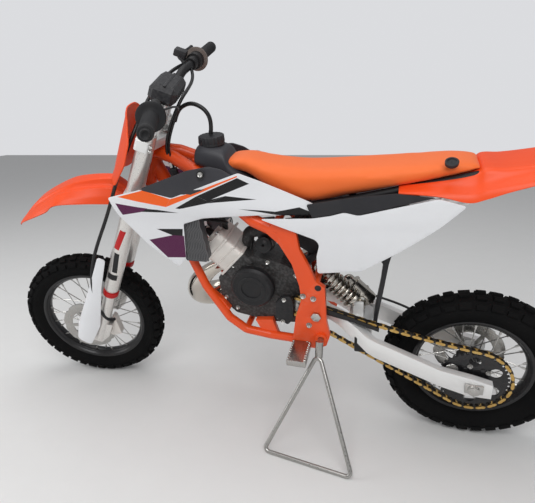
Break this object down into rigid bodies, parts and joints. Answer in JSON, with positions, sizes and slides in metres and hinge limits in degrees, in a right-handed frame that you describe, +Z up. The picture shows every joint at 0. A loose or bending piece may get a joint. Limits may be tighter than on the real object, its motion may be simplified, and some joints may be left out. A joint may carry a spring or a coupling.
{
  "type": "childrens motocross bike",
  "caption": "Small off-road motorcycle leaning on a triangle stand, with upside-down fork, spoked wheels, knobbly tyres and slim seat.",
  "frame": {"origin": "centre of the whole object's box, on the floor", "axes": "+X to the front of the bike, +Y to the rider's left, +Z up from the floor"},
  "size_m": [1.4566, 0.6776, 0.9801],
  "materials": {
    "aluminium": "brushed",
    "black_anodised": "anodised",
    "black_metal": "satin",
    "black_plastic": "grained",
    "cast_aluminium": "cast",
    "chrome": "polished",
    "gold_steel": "gold plated",
    "orange_paint": "powder coat",
    "orange_plastic": "moulded",
    "rubber": "matt",
    "seat_cover": "coated fabric",
    "steel": "zinc plated",
    "tyre": "matt",
    "white_plastic": "moulded"
  },
  "bodies": {
    "chassis": {"airbox": "black_plastic", "carburettor": "cast_aluminium", "chain": "gold_steel", "clutch_cover": "black_metal", "crankcase": "cast_aluminium", "cylinder": "cast_aluminium", "cylinder_head": "cast_aluminium", "drive_sprocket": "steel", "exhaust_pipe": "chrome", "footpegs": "steel", "frame": "orange_paint", "fuel_cap": "black_plastic", "fuel_tank": "black_plastic", "ignition_cover": "black_metal", "left_shroud": "white_plastic", "pivot_bolt": "steel", "radiators": "cast_aluminium", "rear_axle": "steel", "rear_caliper": "cast_aluminium", "rear_fender": "orange_plastic", "right_shroud": "white_plastic", "seat": "seat_cover", "seat_trims": "black_plastic", "shock_absorber": "steel", "side_panels": "white_plastic", "silencer": "aluminium", "sprocket_cover": "black_metal", "subframe": "black_metal", "swingarm": "aluminium", "tank_covers": "black_plastic", "triangle_stand": "steel"},
    "steering": {"lower_clamp": "cast_aluminium", "upper_clamp": "cast_aluminium", "handlebar": "black_metal", "grips": "rubber", "right_controls": "black_metal", "bar_pad": "rubber", "fork_tubes": "aluminium", "fork_legs": "cast_aluminium", "fork_guards": "white_plastic", "front_fender": "orange_plastic", "number_plate": "orange_plastic", "front_caliper": "cast_aluminium", "front_axle": "steel"},
    "front_wheel": {"front_tyre": "tyre", "front_spoked_rim": "black_anodised", "front_disc": "steel"},
    "rear_wheel": {"rear_tyre": "tyre", "rear_spoked_rim": "black_anodised", "rear_disc": "steel", "rear_sprocket": "black_anodised"}
  },
  "joints": [
    {"name": "steering_turn", "type": "hinge", "parent": "chassis", "child": "steering", "pos_m": [0.46842, -0.1387, 0.18915], "axis": [-0.4061, 0.1899, 0.8939], "range_deg": [-53, 31]},
    {"name": "front_wheel_spin", "type": "hinge", "parent": "steering", "child": "front_wheel", "pos_m": [0.51641, -0.12428, 0.20788], "axis": [-0.1745, 0.944, -0.2799], "continuous": true},
    {"name": "rear_wheel_spin", "type": "hinge", "parent": "chassis", "child": "rear_wheel", "pos_m": [-0.5147, -0.1373, 0.1965], "axis": [-0.0002, 0.9781, -0.2079], "continuous": true}
  ]
}
